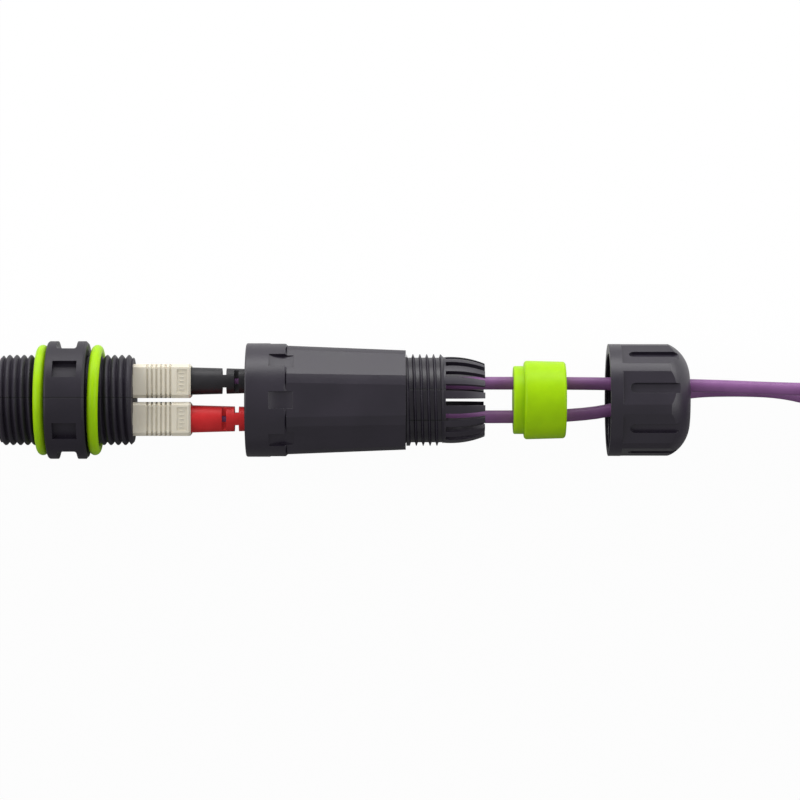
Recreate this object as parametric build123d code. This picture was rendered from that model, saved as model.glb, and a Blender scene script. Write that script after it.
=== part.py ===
from build123d import *

import math
import os

# A weatherproof coupler for two push-pull fibre plugs, taken apart along its axis.
# Millimetres. The origin is the centre of the coupler's open mating face.
# +X runs along the cords, +Y and +Z are across. It lies on a surface at z = -flange radius.

# Coupler barrel
BARREL_LENGTH = 29.0
THREAD_DIAMETER = 19.7
THREAD_LEAD_IN = 0.7
NECK_DIAMETER = 19.0
FREE_THREAD_LENGTH = 7.9
FLANGE_START = 10.35
FLANGE_LENGTH = 8.7
FLANGE_DIAMETER = 25.7
FLANGE_ROUND = 0.55
FLANGE_BEVEL = 0.5
RIM_WIDTH = 2.15
FLANGE_FLATS = 22.4
FLAT_CORNER_ROUND = 0.5
POCKET_LENGTH = 5.2
POCKET_WIDTH = 4.05
POCKET_DEPTH = 1.35
POCKET_ANGLE = 32.0
CORD_NECK_LENGTH = 3.25

# O-rings, one on each side of the flange
RING_SECTION = 2.4
RING_BORE = 19.3
CORD_RING_TILT = 1.5
CORD_RING_PLACE = 20.75

# Ports and what stands in them
PLUG_PITCH = 8.25
PORT_SIDE = 7.6
PORT_CORNER = 0.75
WEB_THICKNESS = 4.0
INSERT_PLATE = 1.0
INSERT_CLEARANCE = 0.05
TUBE_DIAMETER = 4.4
TUBE_REACH = 6.15
TUBE_LIP = 0.4
TUBE_LIP_BORE = 2.8
WEB_BORE_CLEARANCE = 0.05
SLEEVE_LENGTH = 11.4
SLEEVE_DIAMETER = 3.2
SLEEVE_BORE = 2.56
SLEEVE_SLIT = 0.4
SLEEVE_CLEARANCE = 0.05
ARM_WIDTH = 2.2
ARM_THICKNESS = 0.7
ARM_LENGTH = 6.0
ARM_GAP = 0.15
HOOK_LENGTH = 0.9
HOOK_CLEARANCE = 0.06
GROOVE_CLEARANCE = 0.2

# Plug, measured from the tip of its ferrule
FERRULE_DIAMETER = 2.5
FERRULE_LENGTH = 11.0
FERRULE_BEVEL = 0.3
FIBRE_HOLE = 0.25
GRIP_SIDE = 7.4
GRIP_BORE = 6.2
GRIP_CORNER = 0.7
GRIP_START = 4.4
GRIP_END = 27.0
GRIP_TRAVEL = 1.2
GRIP_REAR_BEVEL = 0.45
GRIP_SLOT_WIDTH = 2.9
GRIP_SLOT_LENGTH = 6.2
GROOVE_COUNT = 6
GROOVE_PITCH = 1.005
GROOVE_WIDTH = 0.45
GROOVE_DEPTH = 0.3
FIRST_GROOVE = 17.35
WINDOW_START = 24.0
WINDOW_LENGTH = 2.2
WINDOW_WIDTH = 5.0
WINDOW_DEPTH = 0.2
FRAME_SIDE = 6.0
FRAME_CORNER = 0.5
FRAME_START = 3.3
FRAME_END = 20.5
FRAME_CAVITY = 4.6
SEPTUM_THICKNESS = 1.1
SEPTUM_BORE = 2.75
FRAME_REAR_BORE = 4.1
EAR_LENGTH = 1.0
EAR_HEIGHT = 0.25
HOLDER_FLANGE = 3.9
HOLDER_FLANGE_LENGTH = 1.8
HOLDER_STEM = 2.4
HOLDER_STEM_LENGTH = 4.5
HOLDER_STEM_BORE = 1.2
HOLDER_PLAY = 0.1
HOLDER_GRASP = 1.3
FERRULE_TRAVEL = 0.8
SPRING_DIAMETER = 3.8
SPRING_WIRE = 0.5
SPRING_TURNS = 5.5
SPRING_END_GAP = 0.05
STOP_START = 17.7
STOP_COLLAR_LENGTH = 1.0
STOP_BARREL = 3.6
STOP_BARREL_LENGTH = 5.5
STOP_FIT = 0.03
CRIMP_DIAMETER = 4.6
CRIMP_WALL = 0.45
CRIMP_LENGTH = 4.6
CRIMP_GAP = 0.3
BOOT_DIAMETER = 6.0
BOOT_END_DIAMETER = 4.8
BOOT_START = 21.6
BOOT_END = 48.5
BOOT_TAPER_START = 27.0
BOOT_CLEARANCE = 0.05
BOOT_SLOT_WIDTH = 0.96
BOOT_SLOT_PITCH = 2.7
BOOT_SLOT_COUNT = 5
BOOT_FIRST_SLOT = 34.2
BOOT_CORE = 2.7

# Housing that screws onto the barrel
HOUSING_START = 53.5
COLLAR_LENGTH = 9.05
COLLAR_DIAMETER = 24.8
COLLAR_ROUND = 0.4
COLLAR_REAR_BEVEL = 0.45
BODY_LENGTH = 25.7
BODY_FRONT_FLATS = 23.6
BODY_REAR_FLATS = 21.6
BODY_EDGE_WIDTH = 1.95
SOCKET_BORE = 20.2
SOCKET_DEPTH = 8.6
PLUG_ROOM_BORE = 17.4
PLUG_ROOM_END = 21.0
CORD_ROOM_BORE = 15.5
KEY_POCKET_START = 5.2
KEY_POCKET_LENGTH = 5.25
KEY_POCKET_WIDTH = 3.7
KEY_POCKET_FRONT_HEIGHT = 0.25
KEY_POCKET_DEPTH = 0.3
KEY_POCKET_REAR_DEPTH = 0.15
KEY_POCKETS = 8
GLAND_GAP = 0.15
GLAND_THREAD_DIAMETER = 20.0
GLAND_THREAD_LENGTH = 8.1
FINGER_COUNT = 18
FINGER_LENGTH = 8.95
FINGER_SLOT = 1.5
FINGER_TURN = 3.0
FINGER_ROOT_DIAMETER = 18.7
FINGER_TIP_DIAMETER = 15.9
FINGER_BULGE = 0.55
FINGER_WALL = 1.15

# Rubber seal with two cord holes
SEAL_START = 111.7
SEAL_STEP_LENGTH = 2.3
SEAL_STEP_DIAMETER = 14.85
SEAL_LENGTH = 11.4
SEAL_FRONT_DIAMETER = 17.2
SEAL_REAR_DIAMETER = 16.7
SEAL_ROUND = 0.7
CORD_PITCH = 7.32
CORD_HOLE_CLEARANCE = 0.1

# Dome nut
NUT_START = 132.4
NUT_LENGTH = 17.5
NUT_DIAMETER = 24.45
NUT_RING_LENGTH = 2.65
NUT_FLATS = 23.3
NUT_FACETS = 8
NUT_TURN = -13.0
NUT_DOME_LENGTH = 4.5
NUT_DOME_MIDDLE = 0.56
NUT_DOME_SHARE = 0.68
NUT_END_DIAMETER = 13.6
NUT_END_WALL = 1.4
NUT_THREAD_BORE = 20.3
NUT_THREAD_DEPTH = 7.5
NUT_EXIT_DIAMETER = 12.0
NUT_SEAT_DIAMETER = 15.0
NUT_CONE_LENGTH = 1.4
NUT_CONE_DIAMETER = 17.2
NUT_BARREL_LENGTH = 3.1
NUT_BARREL_DIAMETER = 17.7
NUT_RELIEF_DIAMETER = 19.2
NUT_SLOT_START = 4.2
NUT_SLOT_LENGTH = 11.6
NUT_SLOT_WIDTH = 2.2
NUT_SLOT_DEPTH = 0.7

# Cords
CORD_DIAMETER = 2.8
CORD_LENGTH = 1000.0
CORD_START = 23.0
HANK_START = 197.0
HANK_LAYERS = 4
HANK_GAP = 0.3
TIE_THICKNESS = 0.8
TIE_WIDTH = 6.0
FAR_PLUG_TIP = 334.5
FAR_PLUG_OFFSET = 5.0

# Worked-out places
FLOOR = -FLANGE_DIAMETER / 2
FLANGE_END = FLANGE_START + FLANGE_LENGTH
MIDDLE = BARREL_LENGTH / 2
WEB_START = MIDDLE - WEB_THICKNESS / 2
WEB_END = MIDDLE + WEB_THICKNESS / 2
PORT_OFFSET = PLUG_PITCH / 2
CORD_OFFSET = CORD_PITCH / 2
HOLDER_START = FERRULE_LENGTH - HOLDER_GRASP
SEPTUM_END = HOLDER_START - HOLDER_PLAY
FRAME_CAVITY_END = SEPTUM_END - SEPTUM_THICKNESS
BODY_START = HOUSING_START + COLLAR_LENGTH
BODY_END = BODY_START + BODY_LENGTH
GLAND_START = BODY_END + GLAND_GAP
FINGER_START = GLAND_START + GLAND_THREAD_LENGTH
FINGER_END = FINGER_START + FINGER_LENGTH
GLAND_ROOT_DIAMETER = FINGER_ROOT_DIAMETER
OUTER_LOOP = 4 * CORD_DIAMETER
INNER_LOOP = 3 * CORD_DIAMETER
HANK_WIDTH = 2 * OUTER_LOOP + CORD_DIAMETER
HANK_HEIGHT = HANK_LAYERS * CORD_DIAMETER
RED_HANK_BASE = FLOOR + TIE_THICKNESS
BLACK_HANK_BASE = RED_HANK_BASE + HANK_HEIGHT + 2 * TIE_THICKNESS + HANK_GAP

# The cords' routes outside their hanks, chosen by hand. The z of a hank's lowest layer is its base
# plus half a cord, and each cord leaves its hank from the second layer.
BLACK_LAYER = BLACK_HANK_BASE + CORD_DIAMETER / 2
RED_LAYER = RED_HANK_BASE + CORD_DIAMETER / 2
FAR_HEIGHT = FLOOR + GRIP_SIDE / 2
BLACK_ROUTE = [
    (MIDDLE + CORD_START, PORT_OFFSET, 0),
    (66.0, PORT_OFFSET, 0),
    (96.0, CORD_OFFSET, 0),
    (126.0, CORD_OFFSET, 0),
    (140.0, 3.35, 0.8),
    (154.0, 3.1, 1.7),
    (168.0, 2.5, 2.3),
    (180.5, 2.2, 2.4),
    (193.5, INNER_LOOP - 0.4, BLACK_LAYER - 0.05),
    (203.0, INNER_LOOP, BLACK_LAYER),
]
RED_ROUTE = [
    (MIDDLE + CORD_START, -PORT_OFFSET, 0),
    (66.0, -PORT_OFFSET, 0),
    (96.0, -CORD_OFFSET, 0),
    (126.3, -CORD_OFFSET, 0),
    (138.5, -0.9, -0.5),
    (149.5, 1.9, -1.6),
    (161.0, 2.2, -4.5),
    (171.5, 1.8, -8.0),
    (180.5, -0.5, -10.2),
    (192.5, -INNER_LOOP + 0.5, RED_LAYER - 0.05),
    (203.0, -INNER_LOOP, RED_LAYER),
]
BLACK_TAIL = [
    (245.0, OUTER_LOOP, BLACK_LAYER + CORD_DIAMETER),
    (256.0, OUTER_LOOP - 0.6, BLACK_LAYER + CORD_DIAMETER - 1.2),
    (266.0, 8.6, -1.5),
    (275.0, 5.7, -7.6),
    (283.5, FAR_PLUG_OFFSET, FAR_HEIGHT),
    (FAR_PLUG_TIP - CORD_START, FAR_PLUG_OFFSET, FAR_HEIGHT + 0.01),
]
RED_TAIL = [
    (245.0, -OUTER_LOOP, RED_LAYER + CORD_DIAMETER),
    (256.0, -OUTER_LOOP + 0.4, RED_LAYER + CORD_DIAMETER - 0.3),
    (266.0, -8.8, FAR_HEIGHT - 0.2),
    (275.0, -5.8, FAR_HEIGHT - 0.1),
    (283.5, -FAR_PLUG_OFFSET, FAR_HEIGHT),
    (FAR_PLUG_TIP - CORD_START, -FAR_PLUG_OFFSET, FAR_HEIGHT - 0.01),
]


def along(sketch, start, end, y=0.0, z=0.0):
    """A sketch drawn in Y and Z, extruded from x = start to x = end."""
    plane = Plane(origin=(start, y, z), x_dir=(0, 1, 0), z_dir=(1, 0, 0))
    return extrude(plane * sketch, amount=end - start)


def rod(diameter, start, end, y=0.0, z=0.0):
    return along(Circle(diameter / 2), start, end, y, z)


def square(side, corner):
    return chamfer(Rectangle(side, side).vertices(), corner)


def turned(outline, rounds=()):
    """A closed outline of (x, radius) points, with some corners rounded, turned about the X axis."""
    face = make_face(Polyline(*outline, close=True))
    for (x, radius), size in rounds:
        corner = face.vertices().sort_by_distance((x, radius, 0))[0]
        face = fillet(corner, size)
    return revolve(face, axis=Axis.X)


def flats(across, count, turn, start, end, rear_across=None):
    """What lies outside a prism of count flats, from start to end, to cut from a round piece."""
    rear = across if rear_across is None else rear_across
    reach = max(across, rear)
    cutters = []
    length = end - start
    lean = math.degrees(math.atan2((across - rear) / 2, length))
    for i in range(count):
        block = Box(length * 2, reach, reach, align=(Align.CENTER, Align.CENTER, Align.MIN))
        block = Pos(start + length / 2, 0, (across + rear) / 4) * Rot(0, lean, 0) * block
        cutters.append(Rot(360 / count * i + turn, 0, 0) * block)
    return cutters


def coupler_barrel():
    """The coupler's one moulding: two threaded ends, the flange between them and a web with bores."""
    thread, neck, flange = THREAD_DIAMETER / 2, NECK_DIAMETER / 2, FLANGE_DIAMETER / 2
    tip = thread - THREAD_LEAD_IN
    neck_end = FLANGE_END + CORD_NECK_LENGTH
    body = turned(
        [
            (0, 0),
            (0, tip),
            (THREAD_LEAD_IN, thread),
            (FREE_THREAD_LENGTH, thread),
            (FREE_THREAD_LENGTH, neck),
            (FLANGE_START, neck),
            (FLANGE_START, flange),
            (FLANGE_END - FLANGE_BEVEL, flange),
            (FLANGE_END, flange - FLANGE_BEVEL),
            (FLANGE_END, neck),
            (neck_end, neck),
            (neck_end, thread),
            (BARREL_LENGTH - THREAD_LEAD_IN, thread),
            (BARREL_LENGTH, tip),
            (BARREL_LENGTH, 0),
        ],
        [((FLANGE_START, flange), FLANGE_ROUND)],
    )
    waist_start, waist_end = FLANGE_START + RIM_WIDTH, FLANGE_END - RIM_WIDTH
    waist = waist_end - waist_start
    centre = (waist_start + waist_end) / 2
    flat = Box(waist, FLANGE_DIAMETER, FLANGE_DIAMETER, align=(Align.CENTER, Align.MIN, Align.CENTER))
    flat = fillet(flat.faces().sort_by(Axis.Y)[0].edges().filter_by(Axis.Z), FLAT_CORNER_ROUND)
    for side in (0, 180):
        body -= Rot(side, 0, 0) * Pos(centre, FLANGE_FLATS / 2, 0) * flat
    for front in (0, 180):
        for side in (-POCKET_ANGLE, POCKET_ANGLE):
            pocket = Box(POCKET_LENGTH, POCKET_WIDTH, flange, align=(Align.CENTER, Align.CENTER, Align.MIN))
            body -= Rot(front + side, 0, 0) * Pos(centre, 0, flange - POCKET_DEPTH) * pocket
    groove_height = GRIP_SIDE / 2 + ARM_GAP + ARM_THICKNESS + GROOVE_CLEARANCE
    groove = Rectangle(ARM_WIDTH + 2 * GROOVE_CLEARANCE, 2 * groove_height)
    port = square(PORT_SIDE, PORT_CORNER) + groove
    for side in (-1, 1):
        y = side * PORT_OFFSET
        body -= along(port, 0, WEB_START, y)
        body -= along(port, WEB_END, BARREL_LENGTH, y)
        body -= rod(TUBE_DIAMETER + 2 * WEB_BORE_CLEARANCE, WEB_START, WEB_END, y)
    return body


def o_ring(x, tilt=0.0):
    ring = Torus(RING_BORE / 2 + RING_SECTION / 2, RING_SECTION / 2)
    return Pos(x, 0, 0) * Rot(0, 0, -tilt) * Rot(0, 90, 0) * ring


def latch_insert(side, y):
    """A plate against the web, half of the sleeve's tube and two arms with hooks. side is 1 towards the cords."""
    plate_end = WEB_THICKNESS / 2 + INSERT_PLATE
    tube_end = TUBE_REACH
    arm_inside = GRIP_SIDE / 2 + ARM_GAP
    arm_outside = arm_inside + ARM_THICKNESS
    arm_end = plate_end + ARM_LENGTH
    plate = square(PORT_SIDE - 2 * INSERT_CLEARANCE, PORT_CORNER) + Rectangle(ARM_WIDTH, 2 * arm_outside)
    piece = along(plate, WEB_THICKNESS / 2 + INSERT_CLEARANCE, plate_end)
    piece += rod(TUBE_DIAMETER, INSERT_CLEARANCE, tube_end)
    sleeve_bore = SLEEVE_DIAMETER + 2 * SLEEVE_CLEARANCE
    piece -= rod(sleeve_bore, 0, tube_end - TUBE_LIP)
    piece -= rod(TUBE_LIP_BORE, 0, tube_end)
    hook_tip = FRAME_SIDE / 2 + EAR_HEIGHT + HOOK_CLEARANCE
    outline = [
        (plate_end - INSERT_PLATE / 2, arm_inside),
        (arm_end - HOOK_LENGTH, arm_inside),
        (arm_end - HOOK_LENGTH, hook_tip),
        (arm_end - HOOK_LENGTH / 2, hook_tip),
        (arm_end, arm_inside),
        (arm_end, arm_outside),
        (plate_end - INSERT_PLATE / 2, arm_outside),
    ]
    arm = extrude(Plane.XZ * make_face(Polyline(*outline, close=True)), amount=ARM_WIDTH / 2, both=True)
    piece += arm + Rot(180, 0, 0) * arm
    turn = 0 if side > 0 else 180
    return Pos(MIDDLE, y, 0) * Rot(0, 0, turn) * piece


def alignment_sleeve(y):
    start, end = MIDDLE - SLEEVE_LENGTH / 2, MIDDLE + SLEEVE_LENGTH / 2
    sleeve = rod(SLEEVE_DIAMETER, start, end, y) - rod(SLEEVE_BORE, start, end, y)
    slit = Box(SLEEVE_LENGTH, SLEEVE_SLIT, SLEEVE_DIAMETER, align=(Align.CENTER, Align.CENTER, Align.MIN))
    return sleeve - Pos(MIDDLE, y, 0) * slit


def grip():
    """The outer sliding sleeve of a plug, with thumb grooves, latch slots and a shallow window."""
    body = along(square(GRIP_SIDE, GRIP_CORNER), GRIP_START, GRIP_END)
    body = chamfer(body.faces().sort_by(Axis.X)[-1].edges(), GRIP_REAR_BEVEL)
    body = chamfer(body.faces().sort_by(Axis.X)[0].edges(), GRIP_REAR_BEVEL / 2)
    body -= along(square(GRIP_BORE, FRAME_CORNER), GRIP_START, GRIP_END)
    for i in range(GROOVE_COUNT):
        x = FIRST_GROOVE + i * GROOVE_PITCH
        inside = square(GRIP_SIDE - 2 * GROOVE_DEPTH, GRIP_CORNER)
        body -= along(Rectangle(2 * GRIP_SIDE, 2 * GRIP_SIDE) - inside, x, x + GROOVE_WIDTH)
    slot = Box(GRIP_SLOT_LENGTH, GRIP_SLOT_WIDTH, 2 * GRIP_SIDE)
    body -= Pos(GRIP_START + GRIP_SLOT_LENGTH / 2, 0, 0) * slot
    window = Box(WINDOW_LENGTH, WINDOW_WIDTH, GRIP_SIDE, align=(Align.CENTER, Align.CENTER, Align.MIN))
    for turn in (0, 180):
        place = Pos(WINDOW_START + WINDOW_LENGTH / 2, 0, GRIP_SIDE / 2 - WINDOW_DEPTH)
        body -= Rot(turn, 0, 0) * place * window
    return body


def frame():
    """The plug's inner frame: front cavity, septum, spring room and the two latch ears."""
    body = along(square(FRAME_SIDE, FRAME_CORNER), FRAME_START, FRAME_END)
    body = chamfer(body.faces().sort_by(Axis.X)[0].edges(), FRAME_CORNER / 2)
    ear_end = WEB_THICKNESS / 2 + INSERT_PLATE + ARM_LENGTH - HOOK_LENGTH - HOOK_CLEARANCE
    ear = Box(EAR_LENGTH, ARM_WIDTH, FRAME_SIDE + 2 * EAR_HEIGHT, align=(Align.MAX, Align.CENTER, Align.CENTER))
    body += Pos(ear_end, 0, 0) * ear
    body -= rod(FRAME_CAVITY, FRAME_START, FRAME_CAVITY_END)
    body -= rod(SEPTUM_BORE, FRAME_START, FRAME_END)
    body -= rod(FRAME_REAR_BORE, SEPTUM_END, FRAME_END)
    return body


def ferrule():
    radius = FERRULE_DIAMETER / 2
    body = turned(
        [
            (0, 0),
            (0, radius - FERRULE_BEVEL),
            (FERRULE_BEVEL, radius),
            (FERRULE_LENGTH, radius),
            (FERRULE_LENGTH, 0),
        ]
    )
    return body - rod(FIBRE_HOLE, 0, FERRULE_LENGTH)


def ferrule_holder():
    flange_end = HOLDER_START + HOLDER_FLANGE_LENGTH
    stem_end = flange_end + HOLDER_STEM_LENGTH
    body = rod(HOLDER_FLANGE, HOLDER_START, flange_end) + rod(HOLDER_STEM, flange_end, stem_end)
    body -= rod(FERRULE_DIAMETER, HOLDER_START, FERRULE_LENGTH)
    return body - rod(HOLDER_STEM_BORE, HOLDER_START, stem_end)


def spring():
    start = HOLDER_START + HOLDER_FLANGE_LENGTH + SPRING_END_GAP + SPRING_WIRE / 2
    end = STOP_START - SPRING_END_GAP - SPRING_WIRE / 2
    radius = (SPRING_DIAMETER - SPRING_WIRE) / 2
    path = Helix(pitch=(end - start) / SPRING_TURNS, height=end - start, radius=radius)
    section = Plane(origin=path @ 0, z_dir=path % 0) * Circle(SPRING_WIRE / 2)
    return Pos(start, 0, 0) * Rot(0, 90, 0) * sweep(section, path=path)


def rear_body():
    """The stop that is pressed into the frame and carries the crimp."""
    collar_end = FRAME_END + STOP_COLLAR_LENGTH
    body = rod(FRAME_REAR_BORE - 2 * STOP_FIT, STOP_START, FRAME_END)
    body += along(square(FRAME_SIDE - 2 * STOP_FIT, FRAME_CORNER), FRAME_END, collar_end)
    body += rod(STOP_BARREL, collar_end, collar_end + STOP_BARREL_LENGTH)
    body -= rod(HOLDER_STEM + 2 * STOP_FIT, STOP_START, CORD_START)
    return body - rod(CORD_DIAMETER + 2 * STOP_FIT, CORD_START, collar_end + STOP_BARREL_LENGTH)


def crimp_ring():
    start = FRAME_END + STOP_COLLAR_LENGTH + CRIMP_GAP
    return rod(CRIMP_DIAMETER, start, start + CRIMP_LENGTH) - rod(
        CRIMP_DIAMETER - 2 * CRIMP_WALL, start, start + CRIMP_LENGTH
    )


def boot(first_across):
    """The bend boot. Its slots alternate by a quarter turn. first_across says which way the first pair lies."""
    radius, end_radius = BOOT_DIAMETER / 2, BOOT_END_DIAMETER / 2
    crimp_room = CRIMP_DIAMETER / 2 + BOOT_CLEARANCE
    crimp_end = FRAME_END + STOP_COLLAR_LENGTH + STOP_BARREL_LENGTH + CRIMP_GAP
    bore = CORD_DIAMETER / 2 + CORD_HOLE_CLEARANCE
    body = turned(
        [
            (BOOT_START, crimp_room),
            (BOOT_START, radius),
            (BOOT_TAPER_START, radius),
            (BOOT_END, end_radius),
            (BOOT_END, bore),
            (crimp_end, bore),
            (crimp_end, crimp_room),
        ],
        [((BOOT_END, end_radius), 0.4)],
    )
    for i in range(BOOT_SLOT_COUNT):
        across = first_across if i % 2 == 0 else not first_across
        depth = BOOT_DIAMETER
        cut = Box(BOOT_SLOT_WIDTH, 2 * BOOT_DIAMETER, depth, align=(Align.CENTER, Align.CENTER, Align.MIN))
        for side in (0, 180):
            turn = Rot(side + (90 if across else 0), 0, 0)
            body -= Pos(BOOT_FIRST_SLOT + i * BOOT_SLOT_PITCH, 0, 0) * turn * Pos(0, 0, BOOT_CORE / 2) * cut
    return body


def housing():
    """The cord-side housing: socket collar, eight-sided body, gland thread and clamping fingers."""
    collar, gland = COLLAR_DIAMETER / 2, GLAND_THREAD_DIAMETER / 2
    corner_front = BODY_FRONT_FLATS / 2 / math.cos(math.pi / 8)
    corner_rear = BODY_REAR_FLATS / 2 / math.cos(math.pi / 8)
    collar_part = turned(
        [
            (HOUSING_START, 0),
            (HOUSING_START, collar),
            (BODY_START - COLLAR_REAR_BEVEL, collar),
            (BODY_START, collar - COLLAR_REAR_BEVEL),
            (BODY_START, 0),
        ],
        [((HOUSING_START, collar), COLLAR_ROUND)],
    )
    trim = BODY_EDGE_WIDTH / 2 * math.tan(math.pi / 8)
    body_part = turned(
        [
            (BODY_START, 0),
            (BODY_START, corner_front - trim),
            (BODY_END, corner_rear - trim),
            (BODY_END, 0),
        ]
    )
    for cutter in flats(BODY_FRONT_FLATS, 8, 0, BODY_START, BODY_END, BODY_REAR_FLATS):
        body_part -= cutter
    gland_part = rod(GLAND_ROOT_DIAMETER, BODY_END, GLAND_START)
    gland_part += turned(
        [
            (GLAND_START, 0),
            (GLAND_START, gland),
            (FINGER_START - THREAD_LEAD_IN, gland),
            (FINGER_START, gland - THREAD_LEAD_IN),
            (FINGER_START, 0),
        ]
    )
    finger_root, finger_tip = FINGER_ROOT_DIAMETER / 2, FINGER_TIP_DIAMETER / 2
    middle = (FINGER_START + FINGER_END) / 2
    bulge = (finger_root + finger_tip) / 2 + FINGER_BULGE
    curve = ThreePointArc((FINGER_START, finger_root), (middle, bulge), (FINGER_END, finger_tip))
    inner_curve = ThreePointArc(
        (FINGER_END, finger_tip - FINGER_WALL),
        (middle, bulge - FINGER_WALL),
        (FINGER_START, finger_root - FINGER_WALL),
    )
    wall = make_face(curve + Line(curve @ 1, inner_curve @ 0) + inner_curve + Line(inner_curve @ 1, curve @ 0))
    fingers = revolve(wall, axis=Axis.X)
    for i in range(FINGER_COUNT):
        slot = Box(FINGER_LENGTH + 1, FINGER_SLOT, collar, align=(Align.MIN, Align.CENTER, Align.MIN))
        fingers -= Rot(360 / FINGER_COUNT * i + FINGER_TURN, 0, 0) * Pos(FINGER_START + 0.4, 0, 0) * slot
    whole = collar_part + body_part + gland_part
    whole -= rod(SOCKET_BORE, HOUSING_START, HOUSING_START + SOCKET_DEPTH)
    whole -= rod(PLUG_ROOM_BORE, HOUSING_START, HOUSING_START + PLUG_ROOM_END)
    whole -= rod(CORD_ROOM_BORE, HOUSING_START, FINGER_START)
    flat = BODY_FRONT_FLATS / 2
    floor = ThreePointArc(
        (0, flat + KEY_POCKET_FRONT_HEIGHT),
        (KEY_POCKET_LENGTH / 2, flat - KEY_POCKET_DEPTH),
        (KEY_POCKET_LENGTH, flat - KEY_POCKET_REAR_DEPTH),
    )
    above = Polyline(floor @ 1, (KEY_POCKET_LENGTH, COLLAR_DIAMETER), (0, COLLAR_DIAMETER), floor @ 0)
    profile = Plane.XZ * make_face(floor + above)
    pocket = extrude(profile, amount=KEY_POCKET_WIDTH / 2, both=True)
    for i in range(KEY_POCKETS):
        whole -= Rot(360 / KEY_POCKETS * i, 0, 0) * Pos(HOUSING_START + KEY_POCKET_START, 0, 0) * pocket
    return whole + fingers


def cord_seal():
    step, front, rear = SEAL_STEP_DIAMETER / 2, SEAL_FRONT_DIAMETER / 2, SEAL_REAR_DIAMETER / 2
    end = SEAL_START + SEAL_LENGTH
    shoulder = SEAL_START + SEAL_STEP_LENGTH
    shoulder_round = min(SEAL_ROUND, 0.6 * (front - step))
    body = turned(
        [
            (SEAL_START, 0),
            (SEAL_START, step),
            (shoulder, step),
            (shoulder, front),
            (end, rear),
            (end, 0),
        ],
        [((SEAL_START, step), SEAL_ROUND / 2), ((shoulder, front), shoulder_round), ((end, rear), SEAL_ROUND)],
    )
    hole = CORD_DIAMETER + 2 * CORD_HOLE_CLEARANCE
    for side in (-1, 1):
        body -= rod(hole, SEAL_START, end, side * CORD_OFFSET)
    return body


def gland_nut():
    """The dome nut that squeezes the fingers onto the seal."""
    outer, end = NUT_DIAMETER / 2, NUT_START + NUT_LENGTH
    dome_start = end - NUT_DOME_LENGTH
    tip = NUT_END_DIAMETER / 2
    sweep_x = dome_start + NUT_DOME_LENGTH * NUT_DOME_MIDDLE
    sweep_r = tip + (outer - tip) * NUT_DOME_SHARE
    thread = NUT_THREAD_BORE / 2
    deep = NUT_START + NUT_THREAD_DEPTH
    end_wall = end - NUT_END_WALL
    outline = (
        Line((NUT_START, thread), (NUT_START, outer))
        + Line((NUT_START, outer), (dome_start, outer))
        + ThreePointArc((dome_start, outer), (sweep_x, sweep_r), (end, tip))
        + Line((end, tip), (end, NUT_EXIT_DIAMETER / 2))
        + Line((end, NUT_EXIT_DIAMETER / 2), (end_wall, NUT_EXIT_DIAMETER / 2))
        + Polyline(
            (end_wall, NUT_EXIT_DIAMETER / 2),
            (end_wall, NUT_SEAT_DIAMETER / 2),
            (end_wall - NUT_CONE_LENGTH, NUT_CONE_DIAMETER / 2),
            (end_wall - NUT_BARREL_LENGTH, NUT_BARREL_DIAMETER / 2),
            (deep, NUT_RELIEF_DIAMETER / 2),
            (deep, thread),
            (NUT_START, thread),
        )
    )
    body = revolve(make_face(outline), axis=Axis.X)
    ring_end = NUT_START + NUT_RING_LENGTH
    for cutter in flats(NUT_FLATS, NUT_FACETS, NUT_TURN, ring_end, ring_end + NUT_LENGTH):
        body -= cutter & Pos(ring_end, 0, 0) * Box(
            NUT_LENGTH, 2 * NUT_DIAMETER, 2 * NUT_DIAMETER, align=(Align.MIN, Align.CENTER, Align.CENTER)
        )
    slot_floor = NUT_FLATS / 2 - NUT_SLOT_DEPTH
    slot = extrude(SlotOverall(NUT_SLOT_LENGTH, NUT_SLOT_WIDTH), amount=NUT_DIAMETER)
    for i in range(NUT_FACETS):
        place = Pos(NUT_START + NUT_SLOT_START + NUT_SLOT_LENGTH / 2, 0, slot_floor)
        body -= Rot(360 / NUT_FACETS * i + NUT_TURN, 0, 0) * place * slot
    return body


def bend_radii(points):
    """For each corner of a route, the largest bend that its two runs allow."""
    radii = []
    for before, here, after in zip(points, points[1:], points[2:]):
        come, go = Vector(*here) - Vector(*before), Vector(*after) - Vector(*here)
        turn = math.radians(come.get_angle(go))
        radii.append(0.45 * min(come.length, go.length) / math.tan(turn / 2))
    return radii


def cord_tube(name, points):
    radii = bend_radii(points)
    path = FilletPolyline(*points, radius=radii)
    section = Plane(origin=path @ 0, z_dir=path % 0) * Circle(CORD_DIAMETER / 2)
    tube = sweep(section, path=path)
    expected = math.pi * (CORD_DIAMETER / 2) ** 2 * path.length
    print(f"{name}: length {path.length:.1f}, tightest bend {min(radii):.1f}, volume {tube.volume / expected:.4f}")
    return tube, path.length


def hank_straight(loose_length):
    """The straight part of a hank's turns, so that a cord's whole length comes out right. The turns
    wind up an inner column and come down an outer one, which they leave from its second layer."""
    inner_turns, outer_turns = HANK_LAYERS, HANK_LAYERS - 2
    inner_bends, outer_bends = 2 * inner_turns - 1, 2 * outer_turns + 1
    bends = math.pi * (inner_bends * INNER_LOOP + outer_bends * OUTER_LOOP)
    return (CORD_LENGTH - loose_length - bends) / (2 * (inner_turns + outer_turns) + 1)


def hank(base, straight):
    length = straight + HANK_WIDTH
    block = extrude(SlotOverall(length, HANK_WIDTH), amount=HANK_HEIGHT)
    return Pos(HANK_START + length / 2, 0, base) * block


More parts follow.
